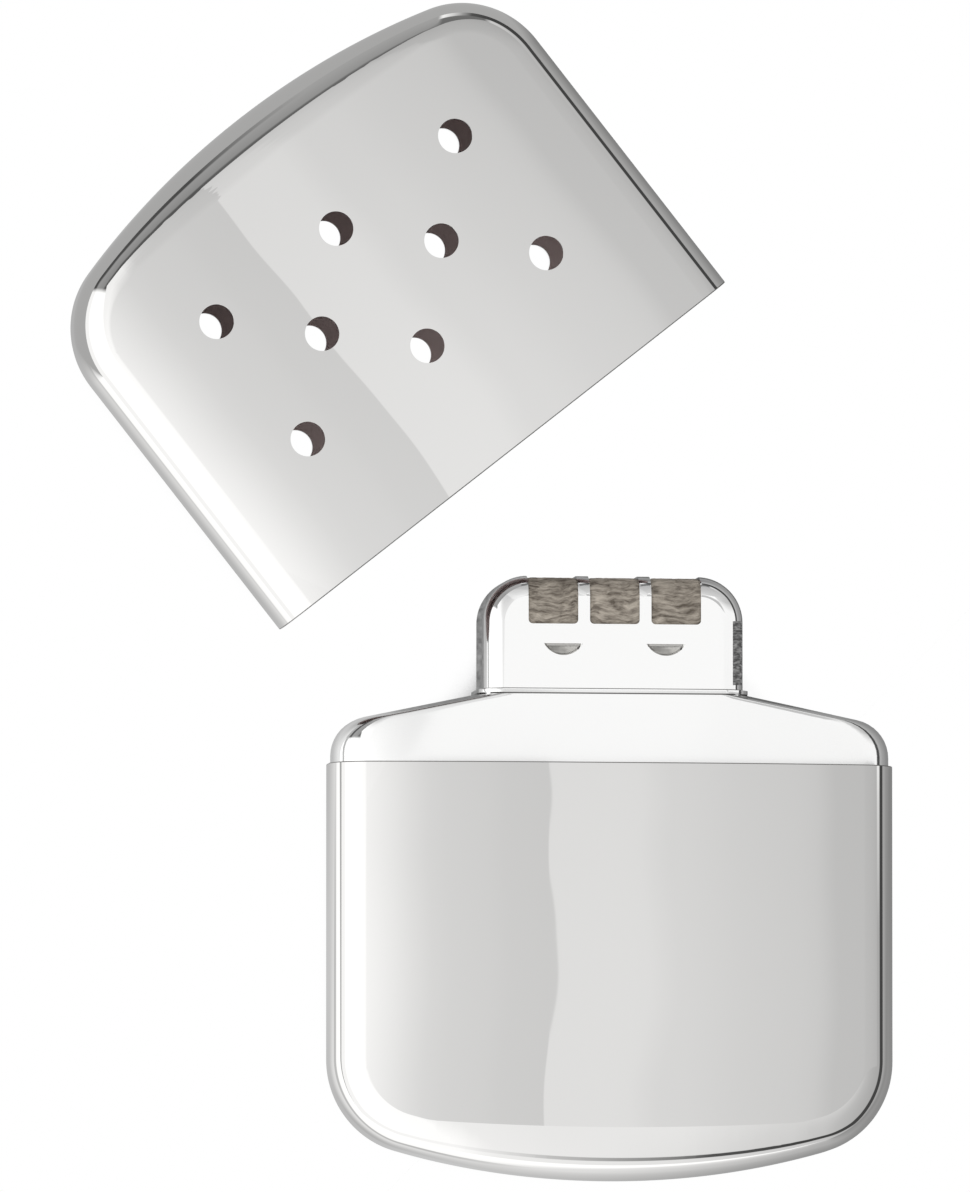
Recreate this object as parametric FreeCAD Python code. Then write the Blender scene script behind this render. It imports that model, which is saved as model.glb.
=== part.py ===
import FreeCAD, Part

# Catalytic hand warmer: a drawn tank filled with cotton, a burner that slides on the tank's oval neck,
# and a vented cap that pushes over the tank's shoulder. Millimetres.
#
# Frame: the warmer lies on its back. X runs across the case, Y along the tank towards the burner, Z up
# out of the front face. The origin is the middle of the tank's flat back. Each piece is first made
# in the case's own frame (seam plane at y = 0, mid-plane of the case at z = 0) and then moved.

import math
import os

from FreeCAD import Vector

# ---- Case: the outline and section that tank and cap share ----
case_width = 67.0
case_depth = 14.0
flat_strip = 16.0            # width of the flat along the middle of the front and back
flank_radius = 184.0         # section radius of the flanks beside the flat strip
crown_radius = 93.3          # end crown, seen from the front
corner_radius = 11.1         # between the end crown and the straight sides
side_round = 4.0             # rim rounding along the sides
end_round = 6.0              # rim rounding along the crowned end
round_share = 0.95           # most of the local half depth that a rim rounding may take

# ---- Tank ----
tank_length = 49.1           # seam to bottom
tank_wall = 0.45

# ---- Cap ----
cap_length = 50.55           # mouth to crown
cap_wall = 0.35
cap_seat_gap = 0.1           # between the mouth and the tank's rim when shut
vent_diameter = 4.1
vent_first_row = 15.8        # mouth to the first row of vents
vent_row_pitch = 8.75
vent_pitch = 18.0            # between vents in a row

# ---- Cap at rest: swung off the tank about a point out to the left, level with the seam ----
cap_turn = 38.2              # degrees
cap_pivot_reach = 59.0       # tank axis to the turning point

# ---- Shoulder, pressed into the tank ----
shoulder_wall = 0.45
shoulder_fit = 0.02
shoulder_skirt = 4.0         # depth inside the tank
shoulder_height = 8.05       # seam to the flat under the burner
shoulder_flat = 33.0         # width of that flat
shoulder_slope = 11.6        # degrees
shoulder_corner = 4.5         # between the upright band and the slope
shoulder_lean = 0.85          # how far front and back lean in, from the band to the flat
shoulder_top_round = 3.9      # end rounding of the flat, seen from above

# ---- Burner housing ----
burner_width = 31.0
burner_depth = 10.5
burner_height = 13.45
burner_wall = 0.35
burner_corner = 5.4          # top corners, seen from the front
burner_round = 2.6           # rim rounding of the sides and top, under half of burner_corner
burner_seat_gap = 0.05       # between the housing and the neck flange

# ---- Windows over the burner's top ----
window_width = 5.9
window_pitch = 7.3
window_drop = 5.8            # burner top to window sill
window_corner = 0.5
window_count = 3

# ---- Lances: two tongues front and back, sheared and pushed inwards to carry the catalyst ----
lance_spread = 6.1           # burner axis to lance
lance_rise = 5.05            # housing bottom to the sheared edge
lance_length = 4.5
lance_sink = 1.2
lance_wall = 0.25

# ---- Catalyst: fibre mat over a perforated saddle ----
mat_clearance = 0.05
mat_thickness = 2.0
mat_margin = 2.0             # mat length beyond the outer windows
mat_window_gap = 0.15        # mat to window edge
mat_sink = 0.12              # mat surface below the housing surface in a window
saddle_gap = 0.05
saddle_wall = 0.3
saddle_hole = 1.6
saddle_hole_offset = 1.5     # each side of a window's middle

# ---- Sleeve inside the burner's skirt ----
sleeve_fit = 0.02
sleeve_wall = 0.25
sleeve_lip = 0.6

# ---- Filler neck, with the flange that the burner seats on ----
neck_clearance = 0.1
neck_wall = 0.4
neck_flange_height = 0.65
neck_flange_side = 0.6       # flange beyond the burner, left and right
neck_flange_front = 0.35     # flange beyond the burner, front and back
neck_top_gap = 0.05          # under the sleeve's lip
neck_tail = 2.0              # below the shoulder's flat

# ---- Cotton and felt ----
cotton_clearance = 0.3
cotton_top = 0.9             # above the seam
felt_gap = 0.1
felt_overhang = 1.2          # felt beyond the neck's bore

# ---- Worked out from the sizes above ----
half_width = case_width / 2
half_depth = case_depth / 2
seam_y = tank_length / 2
shoulder_inset = tank_wall + shoulder_fit
seat_y = shoulder_height + neck_flange_height
burner_bottom = seat_y + burner_seat_gap
burner_top = burner_bottom + burner_height
lance_y = burner_bottom + lance_rise
sleeve_top = lance_y - lance_sink - sleeve_fit
sleeve_inset = burner_wall + sleeve_fit
neck_inset = sleeve_inset + sleeve_wall + neck_clearance
neck_top = sleeve_top - sleeve_wall - neck_top_gap
neck_bottom = shoulder_height - neck_tail
saddle_inset = burner_wall + mat_clearance + mat_thickness + saddle_gap
mat_half_length = window_pitch * (window_count - 1) / 2 + window_width / 2 + mat_margin
SHOULDER_STEPS = 5           # sections through the shoulder's rounded corner
PAST = 5.0                   # how far a cutting or trimming body runs past what it cuts
CORNER_MARGIN = corner_radius / 4   # how far round a corner the crowned end's rounding still holds
NEAR = 1e-3                  # two places closer than this are the same place


# ---- Helpers ----
def wire(edges):
    return Part.Wire([edge.toShape() for edge in edges])


def rounded_outline(corners):
    """Closed wire in XY through corners (x, y, radius), with tangent arcs at those with a radius."""
    count = len(corners)
    starts, ends, arcs = [], [], []
    for i, (x, y, radius) in enumerate(corners):
        here = Vector(x, y, 0)
        if radius <= 0:
            starts.append(here)
            ends.append(here)
            arcs.append(None)
            continue
        before = Vector(*corners[i - 1][:2], 0) - here
        after = Vector(*corners[(i + 1) % count][:2], 0) - here
        before.normalize()
        after.normalize()
        half_angle = before.getAngle(after) / 2
        reach = radius / math.tan(half_angle)
        inward = before + after
        inward.normalize()
        centre = here + inward * (radius / math.sin(half_angle))
        starts.append(here + before * reach)
        ends.append(here + after * reach)
        arcs.append(centre - inward * radius)
    edges = []
    for i in range(count):
        if arcs[i] is not None:
            edges.append(Part.Arc(starts[i], arcs[i], ends[i]))
        following = starts[(i + 1) % count]
        if (following - ends[i]).Length > NEAR:
            edges.append(Part.LineSegment(ends[i], following))
    return wire(edges)


def prism_z(outline, low, high):
    """The outline, drawn in XY, as a body from z = low to z = high."""
    face = Part.Face(outline)
    face.translate(Vector(0, 0, low))
    return face.extrude(Vector(0, 0, high - low))


def prism_y(outline, low, high):
    """The outline, drawn in XY and read as XZ, as a body from y = low to y = high."""
    body = prism_z(outline, -high, -low)
    body.rotate(Vector(0, 0, 0), Vector(1, 0, 0), 90)
    return body


def rectangle(half_x, half_y, radius):
    corners = [(half_x, -half_y, radius), (half_x, half_y, radius)]
    corners += [(-half_x, half_y, radius), (-half_x, -half_y, radius)]
    return rounded_outline(corners)


def box(low, high):
    size = [b - a for a, b in zip(low, high)]
    return Part.makeBox(*size, Vector(*low))


def round_rim(body, radius_at, is_rim):
    """Round the edges that is_rim picks, with the radius that radius_at gives at each edge's ends."""
    document = FreeCAD.newDocument()
    source = document.addObject("Part::Feature", "Body")
    source.Shape = body
    rounding = document.addObject("Part::Fillet", "Rounding")
    rounding.Base = source
    picked = []
    for number, edge in enumerate(body.Edges, start=1):
        middle = edge.valueAt((edge.FirstParameter + edge.LastParameter) / 2)
        if is_rim(edge, middle):
            first = edge.valueAt(edge.FirstParameter)
            last = edge.valueAt(edge.LastParameter)
            picked.append((number, radius_at(first), radius_at(last)))
    rounding.Edges = picked
    document.recompute()
    result = rounding.Shape.copy()
    FreeCAD.closeDocument(document.Name)
    return result


def one_solid(shape, name):
    """The shape as a single clean solid."""
    solids = shape.removeSplitter().Solids
    if len(solids) != 1 or not solids[0].isValid():
        raise ValueError(f"{name} is not one valid solid")
    return solids[0]


# ---- The form that tank and cap share ----
def local_half_depth(inset, x):
    """Half depth of the case at x, inset all over: flat in the middle, crowned beyond the strip."""
    radius = flank_radius - inset
    past_flat = max(abs(x) - flat_strip / 2, 0)
    return half_depth - inset - radius + math.sqrt(radius ** 2 - past_flat ** 2)


def crowned_section(inset, reach):
    """Section of the case in XZ (drawn in XY): flat strips with crowned flanks, out to x = +-reach."""
    top = half_depth - inset
    flat = flat_strip / 2
    end = local_half_depth(inset, reach)
    mid_x = (flat + reach) / 2
    mid = local_half_depth(inset, mid_x)
    return wire([
        Part.LineSegment(Vector(-flat, top, 0), Vector(flat, top, 0)),
        Part.Arc(Vector(flat, top, 0), Vector(mid_x, mid, 0), Vector(reach, end, 0)),
        Part.LineSegment(Vector(reach, end, 0), Vector(reach, -end, 0)),
        Part.Arc(Vector(reach, -end, 0), Vector(mid_x, -mid, 0), Vector(flat, -top, 0)),
        Part.LineSegment(Vector(flat, -top, 0), Vector(-flat, -top, 0)),
        Part.Arc(Vector(-flat, -top, 0), Vector(-mid_x, -mid, 0), Vector(-reach, -end, 0)),
        Part.LineSegment(Vector(-reach, -end, 0), Vector(-reach, end, 0)),
        Part.Arc(Vector(-reach, end, 0), Vector(-mid_x, mid, 0), Vector(-flat, top, 0)),
    ])


def crowned_outline(inset, base, length):
    """Front outline of tank or cap: straight sides from y = base, round corners, crowned end."""
    side = half_width - inset
    apex = length - inset
    crown = crown_radius - inset
    corner = corner_radius - inset
    centre_x = side - corner
    centre_y = apex - crown + math.sqrt((crown - corner) ** 2 - centre_x ** 2)
    tilt = math.atan2(centre_y - (apex - crown), centre_x)
    meet = Vector(crown * math.cos(tilt), apex - crown + crown * math.sin(tilt), 0)
    bend = Vector(centre_x + corner * math.cos(tilt / 2), centre_y + corner * math.sin(tilt / 2), 0)
    return wire([
        Part.LineSegment(Vector(-side, base, 0), Vector(side, base, 0)),
        Part.LineSegment(Vector(side, base, 0), Vector(side, centre_y, 0)),
        Part.Arc(Vector(side, centre_y, 0), bend, meet),
        Part.Arc(meet, Vector(0, apex, 0), Vector(-meet.x, meet.y, 0)),
        Part.Arc(Vector(-meet.x, meet.y, 0), Vector(-bend.x, bend.y, 0), Vector(-side, centre_y, 0)),
        Part.LineSegment(Vector(-side, centre_y, 0), Vector(-side, base, 0)),
    ]), centre_y


def crowned_body(inset, base, outline, radius_at):
    """The front outline cut out of the crowned section, with its rim rounded by radius_at."""
    reach = half_width + 1
    plate = prism_z(outline, -case_depth, case_depth)
    slab = prism_y(crowned_section(inset, reach), base - PAST, case_width)
    body = plate.common(slab)
    rim_z = local_half_depth(inset, reach) / 2

    def is_rim(edge, middle):
        across = edge.BoundBox.ZLength > half_depth
        on_mouth = edge.BoundBox.YMax < base + NEAR
        strip_line = abs(abs(middle.x) - flat_strip / 2) < NEAR and edge.BoundBox.XLength < NEAR
        return abs(middle.z) > rim_z and not (across or on_mouth or strip_line)

    return round_rim(body, radius_at, is_rim)


def case_body(inset, base, length):
    """Solid form of tank or cap, inset all over, open end at y = base, crowned end towards +Y."""
    outline, corner_start = crowned_outline(inset, base, length)
    side = half_width - corner_radius

    def radius_at(point):
        on_crown = point.y > corner_start + NEAR and abs(point.x) < side + CORNER_MARGIN
        wanted = (end_round if on_crown else side_round) - inset
        return min(wanted, round_share * local_half_depth(inset, point.x))

    return crowned_body(inset, base, outline, radius_at)


def case_shell(length, wall):
    return case_body(0, 0, length).cut(case_body(wall, -PAST, length))


# ---- Cap ----
def vent_places():
    """Vents in the cap's own frame: rows of three, two and three, the middle row staggered."""
    outer = [-vent_pitch, 0, vent_pitch]
    middle = [-vent_pitch / 2, vent_pitch / 2]
    for row, places in enumerate([outer, middle, outer]):
        for x in places:
            yield x, vent_first_row + row * vent_row_pitch


def cap_shell():
    shell = case_shell(cap_length, cap_wall)
    for x, y in vent_places():
        drill = Part.makeCylinder(vent_diameter / 2, 2 * case_depth, Vector(x, y, -case_depth))
        shell = shell.cut(drill)
    return shell


def swung_off(shape):
    """From the shut place on the tank to the place where the cap lies at rest."""
    shape.translate(Vector(0, cap_seat_gap, 0))
    shape.rotate(Vector(-cap_pivot_reach, 0, 0), Vector(0, 0, 1), cap_turn)
    return shape


# ---- Tank ----
def tank_shell():
    shell = case_shell(tank_length, tank_wall)
    shell.rotate(Vector(0, 0, 0), Vector(0, 0, 1), 180)
    return shell


def oval_section(half_x, half_z, rounding, y):
    """Section of the shoulder at height y: the case's flats and flanks, with rounded ends."""
    flat = flat_strip / 2
    turn = flank_radius - rounding
    centre_x = half_x - rounding
    centre_z = half_z - flank_radius + math.sqrt(turn ** 2 - (centre_x - flat) ** 2)
    lean = math.atan2(centre_z - half_z + flank_radius, centre_x - flat)
    meet = Vector(centre_x + rounding * math.cos(lean), centre_z + rounding * math.sin(lean), 0)
    bend = Vector(centre_x + rounding * math.cos(lean / 2), centre_z + rounding * math.sin(lean / 2), 0)
    half_lean = (lean + math.pi / 2) / 2
    flank = Vector(flat + flank_radius * math.cos(half_lean),
                   half_z - flank_radius + flank_radius * math.sin(half_lean), 0)
    quarter = [Vector(flat, half_z, 0), flank, meet, bend, Vector(half_x, centre_z, 0)]
    edges = []
    for sign_x, sign_z in ((1, 1), (1, -1), (-1, -1), (-1, 1)):
        points = [Vector(sign_x * point.x, sign_z * point.y, 0) for point in quarter]
        if sign_x * sign_z < 0:
            points.reverse()
        edges += [Part.Arc(*points[:3]), Part.Arc(*points[2:])]
        last = points[-1]
        across = Vector(last.x, -last.y, 0) if sign_x * sign_z > 0 else Vector(-last.x, last.y, 0)
        edges.append(Part.LineSegment(last, across))
    section = wire(edges)
    section.rotate(Vector(0, 0, 0), Vector(1, 0, 0), 90)
    section.translate(Vector(0, y, 0))
    return section


def shoulder_form(inset, base):
    """Solid form of the shoulder: upright band, rounded corners, then a slope up to the flat."""
    side = half_width - inset
    extra = inset - shoulder_inset
    top = shoulder_height - extra
    flat = shoulder_flat / 2
    slope = math.radians(shoulder_slope)
    corner = shoulder_corner - extra
    turn = math.pi / 2 - slope
    band_top = top - (side - flat) * math.tan(slope) - corner * math.tan(turn / 2)

    def section(half_x, y):
        share = ((y - band_top) / (top - band_top)) ** 2
        half_z = half_depth - inset - share * shoulder_lean
        rounding = side_round - inset + share * (shoulder_top_round - side_round + shoulder_inset)
        return oval_section(half_x, half_z, rounding, y)

    angles = [turn * step / SHOULDER_STEPS for step in range(SHOULDER_STEPS + 1)]
    corners = [section(side - corner + corner * math.cos(a), band_top + corner * math.sin(a)) for a in angles]
    band = Part.makeLoft([oval_section(side, half_depth - inset, side_round - inset, base), corners[0]], True, True)
    bend = Part.makeLoft(corners, True)
    wings = Part.makeLoft([corners[-1], section(flat, top)], True, True)
    return band.fuse([bend, wings])


def tank_shoulder():
    outer = shoulder_form(shoulder_inset, -shoulder_skirt)
    inner = shoulder_form(shoulder_inset + shoulder_wall, -shoulder_skirt - PAST)
    hole = prism_y(burner_plan(neck_inset - shoulder_fit), neck_bottom, burner_top)
    return outer.cut(inner).cut(hole)


# ---- Filler neck ----
def burner_plan(inset):
    """Plan of the burner in XZ (drawn in XY), inset all round."""
    return rectangle(burner_width / 2 - inset, burner_depth / 2 - inset, burner_round - inset)


def filler_neck():
    bore = burner_plan(neck_inset + neck_wall)
    tube = prism_y(burner_plan(neck_inset), neck_bottom, neck_top)
    flange_plan = rectangle(burner_width / 2 + neck_flange_side, burner_depth / 2 + neck_flange_front,
                            burner_round + neck_flange_front)
    flange = prism_y(flange_plan, shoulder_height, seat_y)
    return tube.fuse(flange).cut(prism_y(bore, neck_bottom - PAST, neck_top + PAST))


# ---- Burner ----
def burner_form(inset, base):
    """Solid form of the burner housing, inset all over, with a flat open end at y = base."""
    side = burner_width / 2 - inset
    top = burner_top - inset
    depth = burner_depth / 2 - inset
    corner = burner_corner - inset
    outline = rounded_outline([(side, base, 0), (side, top, corner), (-side, top, corner), (-side, base, 0)])
    body = prism_z(outline, -depth, depth)
    rim = [edge for edge in body.Edges
           if edge.BoundBox.ZLength < NEAR and edge.BoundBox.YMax > base + NEAR]
    return body.makeFillet(burner_round - inset, rim)


def window_prisms(grow):
    """One body for each window, right through the housing from front to back and out at the top."""
    half = window_width / 2 + grow
    sill = burner_top - window_drop - grow
    radius = window_corner - min(grow, 0)
    for i in range(window_count):
        x = (i - (window_count - 1) / 2) * window_pitch
        outline = rounded_outline([
            (x - half, sill, radius), (x + half, sill, radius),
            (x + half, burner_top + PAST, 0), (x - half, burner_top + PAST, 0),
        ])
        yield prism_z(outline, -case_depth, case_depth)


def lance_scoop(half_length, sink):
    """Slice of a ball: flat on top, rounded below, sunk inwards from the front face."""
    lift = (half_length ** 2 - sink ** 2) / (2 * sink)
    ball = Part.makeSphere(math.hypot(sink + lift, lift), Vector(0, lift, lift))
    return ball.common(box((-half_length, -sink, -sink), (half_length, 0, 0)))


def lances(half_length, sink):
    """The four scoops, two on the front face and two on the back."""
    for side in (-1, 1):
        for x in (-lance_spread, lance_spread):
            scoop = lance_scoop(half_length, sink)
            if side < 0:
                scoop = scoop.mirror(Vector(0, 0, 0), Vector(0, 0, 1))
            scoop.translate(Vector(x, lance_y, side * burner_depth / 2))
            yield scoop


def burner_housing():
    housing = burner_form(0, burner_bottom).cut(burner_form(burner_wall, burner_bottom - PAST))
    for window in window_prisms(0):
        housing = housing.cut(window)
    for scoop in lances(lance_length / 2, lance_sink):
        housing = housing.fuse(scoop)
    for scoop in lances(lance_length / 2 - lance_wall, lance_sink - lance_wall):
        housing = housing.cut(scoop)
    return housing


def burner_sleeve():
    """Band that lines the skirt, with a lip turned in over the neck's mouth."""
    band = prism_y(burner_plan(sleeve_inset), burner_bottom, sleeve_top)
    inside = prism_y(burner_plan(sleeve_inset + sleeve_wall), burner_bottom - PAST, sleeve_top - sleeve_wall)
    mouth = prism_y(burner_plan(sleeve_inset + sleeve_wall + sleeve_lip), burner_bottom, burner_top)
    return band.cut(inside).cut(mouth)


# ---- Catalyst ----
def arch(inset, half_length, foot):
    """Solid arch along X that follows the housing's front, top and back at the given inset."""
    half = burner_depth / 2 - inset
    top = burner_top - inset
    radius = burner_round - inset
    profile = rounded_outline([(half, foot, 0), (half, top, radius), (-half, top, radius), (-half, foot, 0)])
    body = prism_z(profile, -half_length, half_length)
    body.rotate(Vector(0, 0, 0), Vector(0, 1, 0), 90)
    return body


def catalyst_mat():
    inset = burner_wall + mat_clearance
    foot = lance_y + sleeve_fit + saddle_wall + saddle_gap
    inside = arch(inset + mat_thickness, mat_half_length + PAST, foot - PAST)
    mat = arch(inset, mat_half_length, foot).common(burner_form(inset, foot - PAST))
    swell = burner_form(mat_sink, foot)
    for window in window_prisms(-mat_window_gap):
        mat = mat.fuse(swell.common(window))
    return mat.cut(inside)


def saddle_holes():
    """Drills for the perforations: through both legs, and down through the top."""
    leg_y = burner_top - window_drop + saddle_hole
    for i in range(window_count):
        middle = (i - (window_count - 1) / 2) * window_pitch
        for x in (middle - saddle_hole_offset, middle + saddle_hole_offset):
            yield Part.makeCylinder(saddle_hole / 2, case_depth, Vector(x, leg_y, -half_depth))
            yield Part.makeCylinder(saddle_hole / 2, burner_height, Vector(x, leg_y, 0), Vector(0, 1, 0))


def catalyst_saddle():
    foot = lance_y + sleeve_fit
    legs = arch(saddle_inset, mat_half_length, foot)
    feet_reach = burner_depth / 2 - burner_wall
    feet = box((-mat_half_length, foot, -feet_reach), (mat_half_length, foot + saddle_wall, feet_reach))
    saddle = legs.fuse(feet).common(burner_form(burner_wall + mat_clearance, foot - PAST))
    saddle = saddle.cut(arch(saddle_inset + saddle_wall, mat_half_length + PAST, foot - PAST))
    for drill in saddle_holes():
        saddle = saddle.cut(drill)
    return saddle


# ---- Cotton and felt ----
def cotton_wadding():
    """Wad with bevelled rims, as deep as the tank's sides."""
    inset = shoulder_inset + shoulder_wall + cotton_clearance
    half_z = local_half_depth(inset, half_width - inset)
    outline, _ = crowned_outline(inset, -cotton_top, tank_length)
    wadding = prism_z(outline, -half_z, half_z)
    rim = [edge for edge in wadding.Edges
           if edge.BoundBox.ZLength < NEAR and edge.BoundBox.YMax > NEAR - cotton_top]
    wadding = wadding.makeChamfer(min(side_round - inset, round_share * half_z), rim)
    wadding.rotate(Vector(0, 0, 0), Vector(0, 0, 1), 180)
    return wadding


def felt_pad():
    """Pad a little wider than the neck's bore, as deep as the space between front and back."""
    half_x = burner_width / 2 - neck_inset - neck_wall + felt_overhang
    half_z = half_depth - shoulder_inset - shoulder_wall - shoulder_lean - felt_gap
    plan = rectangle(half_x, half_z, burner_round)
    return prism_y(plan, cotton_top + felt_gap, neck_bottom - felt_gap)


# ---- Build ----
def place(shape):
    """From the case's own frame to the part's frame."""
    shape.translate(Vector(0, seam_y, half_depth))
    return shape


def main():
    os.makedirs("parts", exist_ok=True)
    pieces = {
        "cap_shell": swung_off(one_solid(cap_shell(), "cap_shell")),
        "tank_shell": tank_shell(),
        "tank_shoulder": tank_shoulder(),
        "filler_neck": filler_neck(),
        "cotton_wadding": cotton_wadding(),
        "felt_pad": felt_pad(),
        "burner_housing": burner_housing(),
        "burner_sleeve": burner_sleeve(),
        "catalyst_mat": catalyst_mat(),
        "catalyst_saddle": catalyst_saddle(),
    }
    for name, shape in pieces.items():
        solid = place(one_solid(shape, name))
        solid.exportStep(f"parts/{name}.step")
        corners = solid.BoundBox
        print(f"{name}: {corners.XLength:.2f} x {corners.YLength:.2f} x {corners.ZLength:.2f}")


main()
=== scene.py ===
import math

import bpy
from bpy.props import FloatProperty, FloatVectorProperty, PointerProperty
from mathutils import Matrix, Vector


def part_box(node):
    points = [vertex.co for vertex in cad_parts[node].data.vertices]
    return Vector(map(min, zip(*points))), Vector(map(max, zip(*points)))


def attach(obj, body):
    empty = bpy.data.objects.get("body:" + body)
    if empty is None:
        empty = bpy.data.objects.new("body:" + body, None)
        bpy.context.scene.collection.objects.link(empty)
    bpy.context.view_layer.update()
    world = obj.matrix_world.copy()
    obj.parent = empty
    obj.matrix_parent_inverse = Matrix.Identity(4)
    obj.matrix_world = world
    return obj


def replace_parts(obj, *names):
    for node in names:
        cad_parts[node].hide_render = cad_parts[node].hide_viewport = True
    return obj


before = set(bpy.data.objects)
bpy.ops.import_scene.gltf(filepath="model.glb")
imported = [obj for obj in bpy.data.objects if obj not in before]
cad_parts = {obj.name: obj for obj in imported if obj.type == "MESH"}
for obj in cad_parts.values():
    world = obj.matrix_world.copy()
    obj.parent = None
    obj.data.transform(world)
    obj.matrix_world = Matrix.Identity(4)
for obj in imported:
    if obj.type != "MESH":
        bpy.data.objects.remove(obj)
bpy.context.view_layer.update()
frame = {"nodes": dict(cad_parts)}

bl_info = {
    "name": "Catalytic hand warmer",
    "version": (1, 0, 0),
    "blender": (4, 5, 0),
    "location": "View3D > Sidebar > Hand warmer",
    "description": "Dresses the hand warmer: drawn shells, burner, catalyst and a light table",
    "category": "Object",
}

MM = 0.001
TANK_LOW, TANK_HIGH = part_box("tank_shell")
BURNER_LOW, BURNER_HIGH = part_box("burner_housing")
SEAM_Y = TANK_HIGH.y
MID_Z = (TANK_LOW.z + TANK_HIGH.z) / 2

# Vents of the cap: three rows over the mouth, the middle one between the columns of the others
VENT_HALF_PITCH, VENT_FIRST_ROW, VENT_ROW_PITCH = 9, 15.8, 8.75
VENTS = [(column * VENT_HALF_PITCH, VENT_FIRST_ROW + row * VENT_ROW_PITCH)
         for row, columns in enumerate([(-2, 0, 2), (-1, 1), (-2, 0, 2)]) for column in columns]

# Cap as it lies: its turn, its mouth's near corner in millimetres, the way it points, and its hinge
CAP_TURN = 38.2
CAP_CORNER = (-12.7, 61.1)
CAP_ALONG, CAP_ACROSS = (-0.618, 0.786, 0), (0.786, 0.618, 0)
HINGE_X = -59 * MM
SEAM_GAP = 0.1 * MM

# Roundings of the sheared edges
TANK_LIP, CAP_LIP, VENT_EDGE = 0.12 * MM, 0.13 * MM, 0.1 * MM

# Shoulder, the neck's hole through it, and the flange that stands around the hole
SHOULDER_WALL, SHOULDER_SLOPE = 0.45 * MM, math.radians(11.6)
SHOULDER_CORNER, SHOULDER_LEAN, SHOULDER_ROUND = 4.5 * MM, 0.14 * MM, 3.9 * MM
NECK_HOLE, NECK_HOLE_ROUND = (29.6 * MM, 5 * MM, 9.1 * MM), 1.9 * MM
FLANGE_X, FLANGE_Z, FLANGE_BEVEL = 15.2 * MM, 5.3 * MM, 0.22 * MM

# Burner housing: wall, windows over the top, and lances with a hollow and a pressed tongue each
HOUSING_WALL, HOUSING_EDGE = 0.35 * MM, 0.06 * MM
WINDOW_WIDTH, WINDOW_PITCH = 5.9 * MM, 7.3 * MM
WINDOW_DROP, WINDOW_ROUND = 5.8 * MM, 0.5 * MM
LANCE_SPREAD, LANCE_RISE, LANCE_FACE = 6.1 * MM, 5.05 * MM, 5.25 * MM
HOLLOW_HALF, HOLLOW_SINK, HOLLOW_ABOVE, HOLLOW_BEFORE = 2.15 * MM, 1.12 * MM, 0.28 * MM, 0.3 * MM
TONGUE_HALF, TONGUE_SINK, TONGUE_BEFORE = 2.3 * MM, 1.25 * MM, -0.15 * MM

# Catalyst mat: its foot over the housing's, its half width, and its play in the wall and windows
PAD_FOOT, PAD_HALF_WIDTH = 5.42 * MM, 12.25 * MM
PAD_INSET, SWELL_INSET, SWELL_PLAY = 0.4 * MM, 0.12 * MM, 0.15 * MM
PAD_TOP, PAD_INNER_DEPTH = 2.4 * MM, 5.7 * MM

# Panels over both pieces, in millimetres, and the sharp step in their light
PANEL_LEFT, PANEL_RIGHT, PANEL_FOLD, PANEL_BEND = -90, 380, 75, 18
PANEL_STEP, PANEL_STEP_FROM, PANEL_STEP_TO = 0.165, 8.6 * MM, 8.9 * MM

# Round corners of the boxes in the table's material, in millimetres
BOX_CORNER = 6

# Camera: how much it sees from bottom to top at the pieces, and how far away it is
VIEW_HEIGHT, VIEW_DISTANCE = 140.7752 * MM, 3.0


def size(name, description, default):
    return FloatProperty(name=name, description=description, default=default * MM, unit="LENGTH",
                         subtype="DISTANCE", precision=5)


def colour(name, description, default):
    return FloatVectorProperty(name=name, description=description, default=default, size=3, min=0,
                               max=1, subtype="COLOR")


class WarmerSizes(bpy.types.PropertyGroup):
    case_width: size("Case width", "Across the tank and the cap", 67.0)
    case_depth: size("Case depth", "From back to front", 14.0)
    flat_strip: size("Flat strip", "Width of the flat along the middle of front and back", 16.0)
    flank_radius: size("Flank radius", "Section radius beside the flat strip", 184.0)
    crown_radius: size("Crown radius", "Of the closed end, seen from the front", 93.3)
    corner_radius: size("Corner radius", "Between the closed end and the sides", 11.1)
    side_round: size("Side rounding", "Rim rounding along the sides", 4.0)
    end_round: size("End rounding", "Rim rounding along the closed end", 6.0)
    tank_length: size("Tank length", "Seam to bottom", 49.1)
    tank_wall: size("Tank wall", "Sheet thickness of the tank", 0.45)
    cap_length: size("Cap length", "Mouth to crown", 50.55)
    cap_wall: size("Cap wall", "Sheet thickness of the cap", 0.35)
    vent_diameter: size("Vent diameter", "Holes in the cap", 4.1)
    shoulder_width: size("Shoulder width", "Across the band above the seam", 66.06)
    shoulder_height: size("Shoulder height", "Seam to the flat under the burner", 8.05)
    shoulder_flat: size("Shoulder flat", "Width of the flat under the burner", 33.0)
    burner_width: size("Burner width", "Across the housing", 31.0)
    burner_depth: size("Burner depth", "Housing, back to front", 10.5)
    burner_corner: size("Burner corner", "Top corners, seen from the front", 5.4)
    burner_round: size("Burner rounding", "Rim rounding of the housing", 2.6)


class WarmerFinish(bpy.types.PropertyGroup):
    chrome: colour("Chrome", "Polished case", (0.80, 0.795, 0.785))
    plating: colour("Plating", "Shoulder, burner and neck", (0.93, 0.93, 0.925))
    inside: colour("Inside", "Dull inner face of the shells", (0.62, 0.535, 0.525))
    fibre: colour("Fibre", "Catalyst fibres", (0.53, 0.475, 0.405))
    # Painted shade in the low gaps between the catalyst's fibres
    fibre_dark: colour("Fibre shade", "Between the fibres", (0.125, 0.105, 0.085))
    cotton: colour("Cotton", "Wadding in the tank", (0.80, 0.79, 0.76))
    felt: colour("Felt", "Pad under the neck", (0.70, 0.68, 0.63))
    polish: FloatProperty(name="Polish", description="Roughness of the polished case", default=0.018,
                          min=0, max=1, subtype="FACTOR")


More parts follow.
